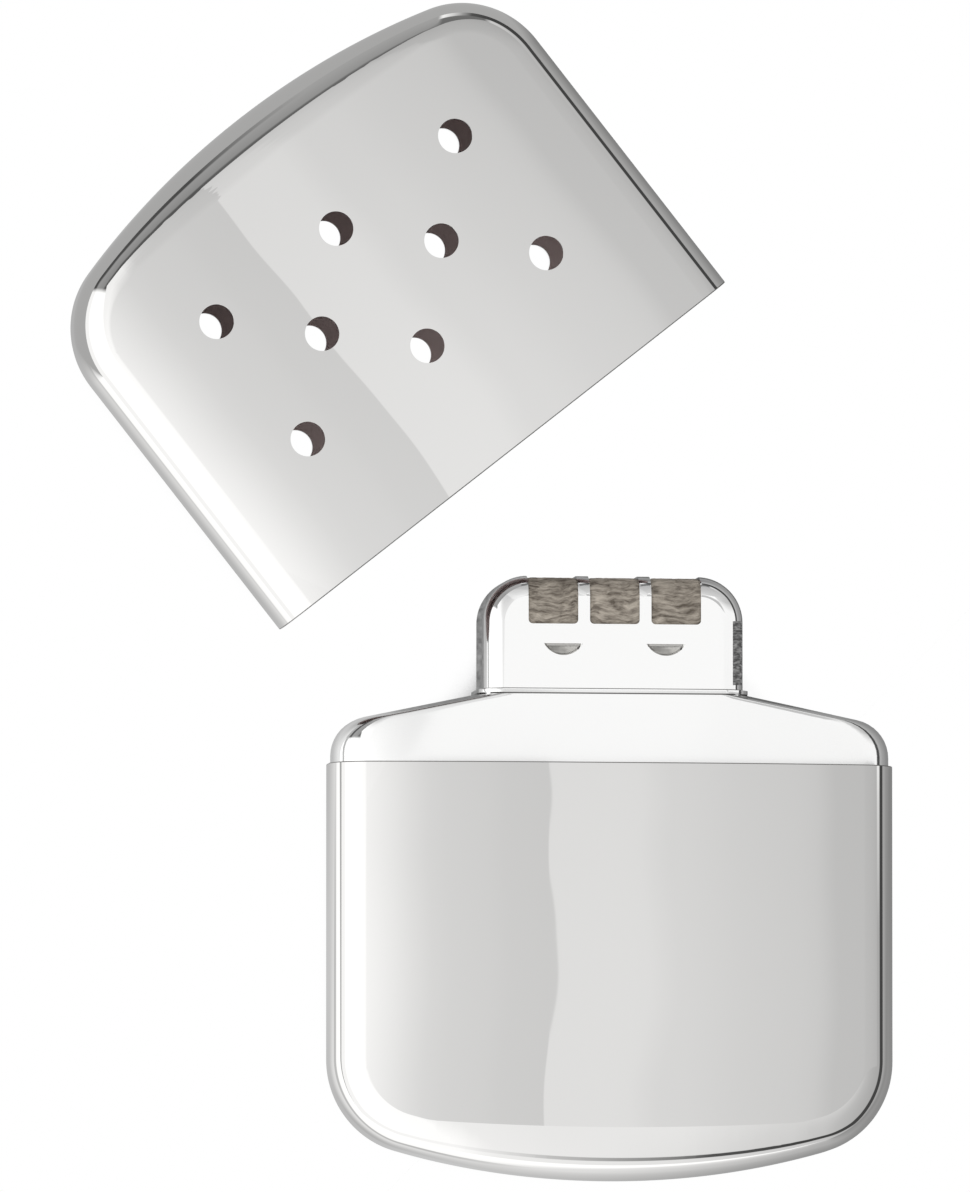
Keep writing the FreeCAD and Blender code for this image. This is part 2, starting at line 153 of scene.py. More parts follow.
class WarmerStage(bpy.types.PropertyGroup):
    floor_width: size("Floor", "Width of the table", 6000.0)
    tent_radius: size("Tent", "Radius of the light tent", 1000.0)
    panel_height: size("Panels", "Height of the panels above the table", 150.0)


# ---- Working by hand: selecting, shaping and placing ----
def choose(*pieces):
    """Selects these pieces and nothing else, with the first one active."""
    bpy.ops.object.select_all(action="DESELECT")
    for piece in pieces:
        piece.select_set(True)
    bpy.context.view_layer.objects.active = pieces[0]


def begin_edit(obj):
    choose(obj)
    bpy.ops.object.mode_set(mode="EDIT")


def end_edit():
    bpy.ops.object.mode_set(mode="OBJECT")


def pick_all():
    bpy.ops.mesh.select_all(action="SELECT")


def pick(obj, vertices=None, edges=None, faces=None):
    """Selects the vertices, edges or faces that the given test accepts, and stays in edit mode."""
    mode = "VERT" if vertices else "EDGE" if edges else "FACE"
    bpy.ops.mesh.select_mode(type=mode)
    bpy.ops.mesh.select_all(action="DESELECT")
    bpy.ops.object.mode_set(mode="OBJECT")
    mesh = obj.data
    places = [v.co for v in mesh.vertices]
    if vertices:
        for vertex in mesh.vertices:
            vertex.select = vertices(vertex.co)
    elif edges:
        for edge in mesh.edges:
            a, b = (places[i] for i in edge.vertices)
            edge.select = edges(a, b)
    else:
        for face in mesh.polygons:
            face.select = faces(face.center, face.normal)
    bpy.ops.object.mode_set(mode="EDIT")


def primitive(kind, name, **options):
    """A new mesh primitive at its size and place, with nothing else selected."""
    if bpy.context.mode != "OBJECT":
        end_edit()
    bpy.ops.object.select_all(action="DESELECT")
    getattr(bpy.ops.mesh, f"primitive_{kind}_add")(**options)
    obj = bpy.context.active_object
    obj.name = name
    obj.data.name = name
    bpy.ops.object.transform_apply(location=True, rotation=True, scale=True)
    return obj


def cuboid(name, middle, sides):
    return primitive("cube", name, size=1, location=middle, scale=sides)


def empty_piece(name):
    """A piece with nothing in it yet, open for editing."""
    obj = primitive("plane", name, size=1, location=(0, 0, 0))
    begin_edit(obj)
    pick_all()
    bpy.ops.mesh.delete(type="VERT")
    return obj


def modify(obj, kind, **settings):
    """Adds a modifier and applies it."""
    choose(obj)
    modifier = obj.modifiers.new(kind.title(), kind)
    for key, value in settings.items():
        setattr(modifier, key, value)
    bpy.ops.object.modifier_apply(modifier=modifier.name)


def round_picked(offset, segments, **options):
    """Bevels what is selected in edit mode."""
    bpy.ops.mesh.bevel(offset=offset, segments=segments, clamp_overlap=False, **options)


def round_edges(obj, width, segments, material=-1):
    """Rounds every edge sharper than 60 degrees; the rounding may take a material of its own."""
    modify(obj, "BEVEL", limit_method="ANGLE", angle_limit=math.radians(60), width=width,
           segments=segments, material=material)


def weigh(obj, name, weight_of):
    group = obj.vertex_groups.new(name=name)
    for vertex in obj.data.vertices:
        weight = weight_of(vertex.co)
        if weight > 0:
            group.add([vertex.index], weight, "REPLACE")


def coat(obj, skins):
    """Puts the materials on the piece, in their order, and keeps which face has which."""
    slots = obj.data.materials
    while len(slots) > len(skins):
        slots.pop()
    while len(slots) < len(skins):
        slots.append(None)
    for i, skin in enumerate(skins):
        slots[i] = skin


def merge(pieces):
    """Joins the pieces into the first one."""
    choose(*pieces)
    bpy.ops.object.join()
    return pieces[0]


def combine(obj, operation, other):
    """Cuts, keeps or adds the other solid, and uses it up."""
    modify(obj, "BOOLEAN", operation=operation, object=other, solver="EXACT")
    bpy.data.objects.remove(other)


def settle(obj, matrix=None, smooth=35, exact=None):
    """Shades the piece smooth and puts it in its place in the frame, with the place in its mesh."""
    obj.data.validate()
    choose(obj)
    bpy.ops.object.shade_smooth_by_angle(angle=math.radians(smooth))
    modify(obj, "WEIGHTED_NORMAL", mode="FACE_AREA", weight=100, keep_sharp=True)
    if exact:
        mesh = obj.data
        normals = [corner.vector.copy() for corner in mesh.corner_normals]
        for face in mesh.polygons:
            for i in face.loop_indices:
                place = mesh.vertices[mesh.loops[i].vertex_index].co
                normals[i] = exact(place, face.normal) or normals[i]
        mesh.normals_split_custom_set(normals)
    if matrix is not None:
        obj.matrix_world = matrix
        bpy.ops.object.transform_apply(location=True, rotation=True, scale=True)


def outward(obj):
    """Merges doubled points and turns all faces outwards."""
    begin_edit(obj)
    pick_all()
    bpy.ops.mesh.remove_doubles(threshold=1e-7)
    bpy.ops.mesh.normals_make_consistent(inside=False)
    end_edit()


# ---- Drawn case ----
def flank_drop(sizes, x):
    """How far the front lies below its flat strip at x."""
    past = max(abs(x) - sizes.flat_strip / 2, 0)
    return sizes.flank_radius - math.sqrt(sizes.flank_radius ** 2 - past ** 2)


def crown_flanks(obj, sizes):
    """Lets front and back fall away beside the flat strip."""
    reach = sizes.case_width / 2
    most = flank_drop(sizes, reach)
    low, high = MID_Z - 1e-6, MID_Z + 1e-6
    weigh(obj, "front", lambda p: flank_drop(sizes, p.x) / most if p.z > high else 0)
    weigh(obj, "back", lambda p: flank_drop(sizes, p.x) / most if p.z < low else 0)
    modify(obj, "DISPLACE", direction="Z", strength=-most, mid_level=0, vertex_group="front")
    modify(obj, "DISPLACE", direction="Z", strength=most, mid_level=0, vertex_group="back")
    obj.vertex_groups.clear()


def case_normals(sizes):
    """Exact normals of a case's front and back, so that reflections run true past holes and edges."""
    def normal(place, facing):
        side = 1 if place.z > MID_Z else -1
        surface = MID_Z + side * (sizes.case_depth / 2 - flank_drop(sizes, place.x))
        if abs(place.z - surface) > 5e-6:
            return None
        lean = math.asin(max(abs(place.x) - sizes.flat_strip / 2, 0) / sizes.flank_radius)
        return Vector((math.copysign(math.sin(lean), place.x), 0, side * math.cos(lean)))
    return normal


def cut_columns(sizes, pitch, rows):
    """Cuts the flat faces into columns beside the flat strip, and into rows."""
    flat = sizes.flat_strip / 2
    reach = sizes.case_width / 2 - sizes.side_round
    count = max(int((reach - flat) / pitch), 1)
    columns = [flat / 2] + [flat + (reach - flat) * i / count for i in range(count + 1)]
    planes = [((side * x, 0, 0), (1, 0, 0)) for x in columns for side in (-1, 1)]
    planes += [((0, y, 0), (0, 1, 0)) for y in rows]
    for place, normal in planes:
        pick_all()
        bpy.ops.mesh.bisect(plane_co=place, plane_no=normal)


def wall_inside(obj, wall):
    """Gives the shell its sheet thickness, with the second material inside and the third on its rim."""
    modify(obj, "SOLIDIFY", thickness=wall, offset=-1, use_even_offset=True, use_quality_normals=True,
           material_offset=1, material_offset_rim=2)


def drawn_case(name, sizes, length, wall, lip, skins):
    """Half case with its mouth at y = 0 and its crowned end towards +Y, its sheared edge rounded."""
    side, depth = sizes.case_width / 2, sizes.case_depth
    corner, crown = sizes.corner_radius, sizes.crown_radius
    centre_x = side - corner
    centre_y = length - crown + math.sqrt((crown - corner) ** 2 - centre_x ** 2)
    tilt = math.atan2(centre_y - (length - crown), centre_x)

    case = primitive("plane", name, size=1, location=(0, 0, 0))
    begin_edit(case)
    pick(case, vertices=lambda p: not (p.x > 0 and p.y > 0))
    bpy.ops.mesh.delete(type="VERT")
    pick_all()
    bpy.ops.transform.translate(value=(side - 0.5, -0.5, 0))
    bpy.ops.mesh.extrude_region_move(TRANSFORM_OT_translate={"value": (0, centre_y, 0)})
    for x, y, steps, angle in ((centre_x, centre_y, 28, tilt),
                               (0, length - crown, 48, math.pi - 2 * tilt),
                               (-centre_x, centre_y, 28, tilt)):
        bpy.ops.mesh.spin(steps=steps, angle=angle, center=(x, y, 0), axis=(0, 0, -1))
    bpy.ops.mesh.extrude_region_move(TRANSFORM_OT_translate={"value": (0, -centre_y, 0)})
    pick_all()
    bpy.ops.mesh.remove_doubles(threshold=1e-7)
    bpy.ops.mesh.edge_face_add()
    bpy.ops.mesh.extrude_region_move(TRANSFORM_OT_translate={"value": (0, 0, depth)})
    end_edit()
    outward(case)

    share = sizes.side_round / sizes.end_round
    weights = case.data.attributes.new("bevel_weight_edge", "FLOAT", "EDGE")
    places = [v.co.copy() for v in case.data.vertices]
    for edge in case.data.edges:
        a, b = (places[i] for i in edge.vertices)
        along_rim = abs(a.z - b.z) < 1e-6 and max(a.y, b.y) > 1e-6
        if along_rim:
            middle = (a + b) / 2
            fuller = max(1 - (middle.x / centre_x) ** 2, 0) if middle.y > centre_y else 0
            weights.data[edge.index].value = share + (1 - share) * fuller
    modify(case, "BEVEL", limit_method="WEIGHT", width=sizes.end_round, segments=20,
           use_clamp_overlap=False)

    begin_edit(case)
    cut_columns(sizes, pitch=1.6 * MM, rows=[length * i / 12 for i in range(1, 12)])
    pick(case, faces=lambda centre, normal: centre.y < 1e-6 and normal.y < -0.9)
    bpy.ops.mesh.delete(type="FACE")
    end_edit()
    crown_flanks(case, sizes)
    coat(case, skins)
    wall_inside(case, wall)
    round_edges(case, lip, 3, material=2)
    return case


# ---- Shoulder ----
def oval_ring(shoulder, half_x, half_z, rounding, y):
    """Adds one rounded ring, upright across the case, to the shoulder's mesh."""
    centre = (0, y, MID_Z)
    bpy.ops.mesh.primitive_plane_add(size=1, location=centre, rotation=(math.pi / 2, 0, 0))
    bpy.ops.transform.resize(value=(2 * half_x, 1, 2 * half_z), center_override=centre)
    round_picked(rounding, 10, affect="VERTICES", offset_type="OFFSET")
    bpy.ops.mesh.delete(type="ONLY_FACE")
    pick(shoulder, edges=lambda a, b: abs(a.y - y) + abs(b.y - y) < 1e-7 and abs(a.x - b.x) > half_x)
    bpy.ops.mesh.subdivide(number_cuts=23)


def pressed_shoulder(name, sizes, skins):
    """Upright band, rounded corners, sloping wings and a flat with the neck's hole, walled inwards."""
    side = sizes.shoulder_width / 2
    inset = sizes.case_width / 2 - side
    half_z = sizes.case_depth / 2 - inset
    rounding = sizes.side_round - inset
    top, flat = sizes.shoulder_height, sizes.shoulder_flat / 2
    corner = SHOULDER_CORNER
    turn = math.pi / 2 - SHOULDER_SLOPE
    band_top = top - (side - flat) * math.tan(SHOULDER_SLOPE) - corner * math.tan(turn / 2)
    rings = [(side, -4 * MM), (side, -1 * MM), (side, 0)]
    rings += [(side - corner + corner * math.cos(turn * i / 9),
               band_top + corner * math.sin(turn * i / 9)) for i in range(10)]
    last_x, last_y = rings[-1]
    rings += [(last_x + (flat - last_x) * i / 6, last_y + (top - last_y) * i / 6) for i in range(1, 7)]

    shoulder = empty_piece(name)
    for half_x, y in rings:
        share = max((y - band_top) / (top - band_top), 0) ** 2
        tilt = max(y / top, 0) * SHOULDER_LEAN
        oval_ring(shoulder, half_x, half_z - tilt, rounding + share * (SHOULDER_ROUND - rounding), y)
    pick_all()
    bpy.ops.mesh.bridge_edge_loops(type="SINGLE")
    pick(shoulder, edges=lambda a, b: min(a.y, b.y) > top - 1e-6)
    bpy.ops.mesh.edge_face_add()
    bpy.ops.mesh.inset(thickness=0.6 * MM)
    end_edit()
    outward(shoulder)
    crown_flanks(shoulder, sizes)
    coat(shoulder, skins)
    modify(shoulder, "SOLIDIFY", thickness=SHOULDER_WALL, offset=-1, use_even_offset=True,
           material_offset=1)
    hole = cuboid("neck_hole", (0, top, MID_Z), NECK_HOLE)
    begin_edit(hole)
    pick(hole, edges=lambda a, b: abs(a.y - b.y) > 1 * MM)
    round_picked(NECK_HOLE_ROUND, 10)
    end_edit()
    combine(shoulder, "DIFFERENCE", hole)
    return shoulder


# ---- Burner ----
def housing_block(name, sizes, inset, bottom):
    """Solid with the housing's form, inset all over, from the given bottom to its top."""
    top = BURNER_HIGH.y - inset
    half_x, half_z = sizes.burner_width / 2 - inset, sizes.burner_depth / 2 - inset
    block = cuboid(name, (0, (bottom + top) / 2, MID_Z), (2 * half_x, top - bottom, 2 * half_z))
    begin_edit(block)
    pick(block, edges=lambda a, b: min(a.y, b.y) > top - 1e-6 and abs(a.z - b.z) > 1e-4)
    round_picked(sizes.burner_corner - inset, 20)
    pick(block, edges=lambda a, b: abs(a.z - b.z) < 1e-6 and max(a.y, b.y) > bottom + 1e-6)
    round_picked(sizes.burner_round - inset, 12)
    end_edit()
    return block


def window_cutters(grow):
    """Makes a block for each window, right through and open upwards, grown all round."""
    for i in (-1, 0, 1):
        sill = BURNER_HIGH.y - WINDOW_DROP - grow
        cutter = cuboid(f"window_cutter_{i + 1}", (i * WINDOW_PITCH, sill + 5 * MM, MID_Z),
                        (WINDOW_WIDTH + 2 * grow, 10 * MM, 20 * MM))
        begin_edit(cutter)
        pick(cutter, edges=lambda a, b: max(a.y, b.y) < sill + 1e-6 and abs(a.z - b.z) > 1 * MM)
        round_picked(WINDOW_ROUND, 6)
        end_edit()
        yield cutter


def scoop(name, half_length, sink, x, side, above, before):
    """Slice of a ball, up to near the sheared edge, and a little before or behind the face."""
    lift = (half_length ** 2 - sink ** 2) / (2 * sink)
    edge_y = BURNER_LOW.y + LANCE_RISE
    face_z = MID_Z + side * LANCE_FACE
    reach = 10 * MM
    ball = primitive("ico_sphere", name, subdivisions=5, radius=math.hypot(sink + lift, lift),
                     location=(x, edge_y + lift, face_z + side * lift))
    kept = primitive("cube", "kept_part", size=reach,
                     location=(x, edge_y + above - reach / 2, face_z + side * (before - reach / 2)))
    combine(ball, "INTERSECT", kept)
    return ball


def hollow(x, side):
    return scoop("hollow", HOLLOW_HALF, HOLLOW_SINK, x, side, HOLLOW_ABOVE, HOLLOW_BEFORE)


def formed_housing(name, sizes, skins):
    """Walled housing, cut by its windows and lances, with a pressed tongue behind each lance."""
    housing = housing_block(name, sizes, 0, BURNER_LOW.y)
    begin_edit(housing)
    pick(housing, faces=lambda centre, normal: normal.y < -0.9)
    bpy.ops.mesh.delete(type="FACE")
    end_edit()
    coat(housing, skins)
    wall_inside(housing, HOUSING_WALL)
    round_edges(housing, HOUSING_EDGE, 2, material=2)
    lances = [(x, side) for side in (-1, 1) for x in (-LANCE_SPREAD, LANCE_SPREAD)]
    openings = merge([*window_cutters(0), *(hollow(x, side) for x, side in lances)])
    combine(housing, "DIFFERENCE", openings)
    round_edges(housing, HOUSING_EDGE, 2)
    tongues = []
    for x, side in lances:
        tongue = scoop("tongue", TONGUE_HALF, TONGUE_SINK, x, side, 0, TONGUE_BEFORE)
        combine(tongue, "DIFFERENCE", hollow(x, side))
        coat(tongue, skins[:1])
        tongues.append(tongue)
    return merge([housing, *tongues])


def face_normals(sizes):
    """Exact normals of the housing's flat faces."""
    def normal(place, facing):
        on_face = abs(abs(place.z - MID_Z) - sizes.burner_depth / 2) < 2e-6
        if abs(facing.z) > 0.999 or on_face and abs(facing.z) > 0.9:
            return Vector((0, 0, facing.z)).normalized()
        return None
    return normal


def catalyst_pad(name, sizes):
    """Folded fibre mat: an arch inside the housing that swells a little into the windows."""
    foot = BURNER_LOW.y + PAD_FOOT
    pad = housing_block(name, sizes, PAD_INSET, foot)
    begin_edit(pad)
    for side in (-1, 1):
        pick_all()
        bpy.ops.mesh.bisect(plane_co=(side * PAD_HALF_WIDTH, 0, 0), plane_no=(side, 0, 0),
                            use_fill=True, clear_outer=True)
    end_edit()
    for i, cutter in enumerate(window_cutters(-SWELL_PLAY)):
        swell = housing_block(f"swell_{i}", sizes, SWELL_INSET, foot)
        combine(swell, "INTERSECT", cutter)
        combine(pad, "UNION", swell)
    top = BURNER_HIGH.y - PAD_TOP
    arch = cuboid("pad_hollow", (0, (foot + top) / 2 - 2.5 * MM, MID_Z),
                  (40 * MM, top - foot + 5 * MM, PAD_INNER_DEPTH))
    combine(pad, "DIFFERENCE", arch)
    soften(pad, voxel=0.3 * MM, rounds=2, lump=0.6 * MM, depth=0.15 * MM)
    return pad


# ---- Neck and filling ----
def copied(node, name):
    """Free copy of a node's solid with its doubled points merged."""
    obj = bpy.data.objects.new(name, frame["nodes"][node].data.copy())
    bpy.context.scene.collection.objects.link(obj)
    outward(obj)
    return obj


def soften(obj, voxel, rounds, lump, depth):
    """Makes a plain block soft: rounded rims and sunken lumps, all inside the block's own space."""
    modify(obj, "REMESH", mode="VOXEL", voxel_size=voxel)
    modify(obj, "SMOOTH", factor=0.5, iterations=rounds)
    cloud = bpy.data.textures.new(obj.name, "CLOUDS")
    cloud.noise_scale = lump
    modify(obj, "DISPLACE", texture=cloud, texture_coords="LOCAL", strength=depth, mid_level=1.0)


# ---- Finishes ----
def feed(node, inputs):
    """Puts values or links on the node's inputs."""
    for key, value in inputs.items():
        if isinstance(value, bpy.types.NodeSocket):
            node.id_data.links.new(value, node.inputs[key])
        else:
            node.inputs[key].default_value = value


def join(tree, kind, inputs=None, **settings):
    """Adds a node, with its settings and what its inputs take."""
    made = tree.nodes.new("ShaderNode" + kind)
    for key, value in settings.items():
        setattr(made, key, value)
    feed(made, inputs or {})
    return made


def math_node(tree, operation, *values):
    return join(tree, "Math", dict(enumerate(values)), operation=operation).outputs[0]


def vector_math(tree, operation, *values):
    made = join(tree, "VectorMath", dict(enumerate(values)), operation=operation)
    return made.outputs["Value" if operation in ("DOT_PRODUCT", "LENGTH") else "Vector"]


def own_place(tree):
    """Where a point lies in the piece's own space."""
    return join(tree, "TexCoord").outputs["Object"]


def noise(tree, place, scale, detail=2.0, output=0, **more):
    inputs = {"Vector": place, "Scale": scale, "Detail": detail, **more}
    return join(tree, "TexNoise", inputs).outputs[output]


def fade(tree, value, start, end):
    """0 at start, 1 at end and even between them; the end may be the lower one."""
    return join(tree, "MapRange", {"Value": value, "From Min": start, "From Max": end}).outputs[0]


def times(tree, value, factor):
    return math_node(tree, "MULTIPLY", value, factor)


def scaled(tree, value, factor, offset):
    return math_node(tree, "MULTIPLY_ADD", value, factor, offset)


def mixed(tree, share, first, second):
    return join(tree, "Mix", {0: share, 2: first, 3: second}).outputs[0]


def tinted(tree, share, first, second):
    return join(tree, "Mix", {0: share, 6: (*first, 1), 7: (*second, 1)}, data_type="RGBA").outputs[2]


def new_group(name, inputs, outputs):
    """A node group with inputs (name, default) and outputs (name, kind), each a Float or a Vector."""
    tree = bpy.data.node_groups.new(name, "ShaderNodeTree")
    for label, default in inputs:
        kind = "Float" if isinstance(default, float) else "Vector"
        socket = tree.interface.new_socket(label, in_out="INPUT", socket_type="NodeSocket" + kind)
        socket.default_value = default
    for label, kind in outputs:
        tree.interface.new_socket(label, in_out="OUTPUT", socket_type="NodeSocket" + kind)
    return tree, tree.nodes.new("NodeGroupInput").outputs, tree.nodes.new("NodeGroupOutput")


def use_group(tree, name, **inputs):
    """Places the group in a tree; what isn't given keeps the group's default."""
    node = tree.nodes.new("ShaderNodeGroup")
    node.node_tree = bpy.data.node_groups[name]
    feed(node, inputs)
    return node.outputs


def make_groups():
    """Builds the effects that several finishes use, and the distance from a box on the table."""
    tree, given, out = new_group("Drawn sheet", [("Scale", 45.0), ("Depth", 0.00001)],
                                 [("Normal", "Vector")])
    swell = noise(tree, own_place(tree), given["Scale"], 1.0, Roughness=0.4)
    bump = join(tree, "Bump", {"Height": swell, "Strength": 1.0, "Distance": given["Depth"]})
    feed(out, {"Normal": bump.outputs[0]})

    tree, given, out = new_group("Handling marks", [("Scale", 60.0), ("Amount", 0.5)],
                                 [("Mask", "Float")])
    place = own_place(tree)
    smears = noise(tree, place, given["Scale"], 5.0, Roughness=0.62, Distortion=0.6)
    specks = scaled(tree, fade(tree, noise(tree, place, 900.0), 0.35, 0.7), 0.5, 0.5)
    mask = times(tree, fade(tree, smears, 0.45, 0.75), specks)
    feed(out, {"Mask": times(tree, mask, given["Amount"])})

    tree, given, out = new_group("Worn edges", [("Radius", 0.00015)], [("Mask", "Float")])
    rounded = join(tree, "Bevel", {"Radius": given["Radius"]}, samples=4).outputs[0]
    turned = vector_math(tree, "DOT_PRODUCT", rounded, join(tree, "NewGeometry").outputs["Normal"])
    feed(out, {"Mask": fade(tree, turned, 0.99, 0.85)})

    tree, given, out = new_group("Matted fibres", [("Scale", 700.0)],
                                 [("Height", "Float"), ("Shade", "Float")])
    place = own_place(tree)
    drift = noise(tree, place, 260.0, output="Color")
    drift = vector_math(tree, "MULTIPLY", drift, (0.0022, 0.0022, 0.0022))
    bent = vector_math(tree, "ADD", place, drift)
    drawn_out = join(tree, "Mapping", {"Vector": bent, "Scale": (0.26, 1.5, 1.5)}).outputs[0]
    threads = noise(tree, drawn_out, given["Scale"], 4.0, Roughness=0.65)
    height = scaled(tree, threads, 0.7, times(tree, noise(tree, bent, 330.0, 3.0), 0.3))
    # The shade follows the height: painted shade in the low gaps between the threads
    feed(out, {"Height": height, "Shade": fade(tree, height, 0.38, 0.62)})

    zero = (0.0, 0.0, 0.0)
    tree, given, out = new_group("Beside the box", [("Middle", zero), ("Turn", zero), ("Half", zero)],
                                 [("Distance", "Float")])
    own = join(tree, "Mapping", {"Vector": own_place(tree), "Location": given["Middle"],
                                 "Rotation": given["Turn"]}, vector_type="TEXTURE").outputs[0]
    past = vector_math(tree, "SUBTRACT", vector_math(tree, "ABSOLUTE", own), given["Half"])
    away = vector_math(tree, "LENGTH", vector_math(tree, "MAXIMUM", past, zero))
    feed(out, {"Distance": math_node(tree, "SUBTRACT", away, BOX_CORNER * MM)})


def new_material(name):
    material = bpy.data.materials.new(name)
    material.use_nodes = True
    tree = material.node_tree
    shader = next(node for node in tree.nodes if node.type == "BSDF_PRINCIPLED")
    return material, tree, shader


def metal(name, base, roughness, marks=0.05, metallic=1.0):
    """Sheet metal: long shallow waves of the drawing, handling marks and rubbed edges."""
    material, tree, shader = new_material(name)
    worn = use_group(tree, "Worn edges")["Mask"]
    brighter = tuple(min(channel * 1.06, 1) for channel in base)
    smeared = scaled(tree, use_group(tree, "Handling marks")["Mask"], marks, roughness)
    feed(shader, {"Metallic": metallic, "Base Color": tinted(tree, worn, base, brighter),
                  "Roughness": scaled(tree, worn, 0.03, smeared),
                  "Normal": use_group(tree, "Drawn sheet")["Normal"]})
    return material


def shared_metal(name, *values, **options):
    """The metal of that name, made when the first piece asks for it."""
    return bpy.data.materials.get(name) or metal(name, *values, **options)


def dull_steel(finish):
    """Unpolished inner face of the drawn sheet."""
    return shared_metal("Dull inside", finish.inside, 0.5, marks=0.1, metallic=0.25)


def sheared():
    """Raw edge of the cut sheet, darker than its polished faces; the same dark metal also paints shade
    into the joints at the tank's seam, the burner's foot and the neck flange's foot.
    """
    return shared_metal("Sheared edge and painted joint shade", (0.3, 0.295, 0.29), 0.3, marks=0.1)


def case_skins(finish):
    """Mirror polish outside, dull inside, raw where the sheet is cut, whose dark metal also paints the
    shade of the seam.
    """
    polished = shared_metal("Polished case", finish.chrome, finish.polish, marks=0.012)
    return polished, dull_steel(finish), sheared()


def fibrous(name, light, dark, scale, depth, sheen=0.0):
    """Loose or pressed fibre: matted threads, with painted shade in the low gaps between them."""
    material, tree, shader = new_material(name)
    fibres = use_group(tree, "Matted fibres", Scale=scale)
    bump = join(tree, "Bump", {"Height": fibres["Height"], "Strength": 1.0, "Distance": depth})
    feed(shader, {"Base Color": tinted(tree, fibres["Shade"], dark, light), "Roughness": 0.9,
                  "Specular IOR Level": 0.2, "Sheen Weight": sheen, "Normal": bump.outputs[0]})
    return material


def finish_with(obj, slot, *materials):
    coat(obj, materials)


# ---- Table, light tent and camera ----
def gradient(tree, value, stops, unit=1):
    """Grey level along stops (place in the unit, level); levels may be above 1."""
    stops = [(place * unit, level) for place, level in stops]
    low, high = stops[0][0], stops[-1][0]
    peak = max(level for _, level in stops)
    share = fade(tree, value, low, high)
    ramp = join(tree, "ValToRGB", {"Fac": share})
    elements = ramp.color_ramp.elements
    while len(elements) < len(stops):
        elements.new(0.5)
    for element, (place, level) in zip(elements, stops):
        element.position = (place - low) / (high - low)
    for element, (place, level) in zip(elements, stops):
        element.color = (level / peak, level / peak, level / peak, 1)
    return times(tree, ramp.outputs[0], peak)


# Light across a panel: place in millimetres and level
PANEL_LEVELS = [(-110, 1.3), (-60, 1.26), (-53, 1.2), (-46, 1.13), (-39.2, 1.025), (-33.4, 0.93),
                (-27.5, 0.85), (-21.5, 0.815), (-9.8, 0.79), (-4, 0.765), (8.8, 0.75), (17.6, 0.748),
                (21, 0.735), (23, 0.68), (31, 0.66), (42.8, 0.625), (61.2, 0.592), (67.2, 0.568),
                (73.5, 0.49), (110, 0.455), (380, 0.395)]


def bare_material(name):
    """A material with nothing in it yet."""
    material = bpy.data.materials.new(name)
    material.use_nodes = True
    material.node_tree.nodes.clear()
    return material, material.node_tree


def glow(tree, **light):
    """Lets the surface shine by itself, with a value or link for its Color or Strength."""
    join(tree, "OutputMaterial", {"Surface": join(tree, "Emission", light).outputs[0]})


def panel_material(name, lengthwise):
    """Levels across the panel, with a softly waving step by its middle, scaled by levels along it."""
    material, tree = bare_material(name)
    place = own_place(tree)
    lengthwise_only = join(tree, "Mapping", {"Vector": place, "Scale": (0.05, 1, 1)}).outputs[0]
    drift = noise(tree, lengthwise_only, 38.0, 1.0)
    parts = join(tree, "SeparateXYZ", {0: place}).outputs
    across = scaled(tree, math_node(tree, "SUBTRACT", drift, 0.5), 0.009, parts["X"])
    level = gradient(tree, across, PANEL_LEVELS, MM)
    level = scaled(tree, fade(tree, across, PANEL_STEP_FROM, PANEL_STEP_TO), PANEL_STEP, level)
    glow(tree, Strength=times(tree, level, gradient(tree, parts["Y"], lengthwise, MM)))
    return material


def band(tree, value, low, high, soft):
    """1 between low and high, falling to 0 over the soft width outside them."""
    return times(tree, fade(tree, value, low - soft, low), fade(tree, value, high + soft, high))


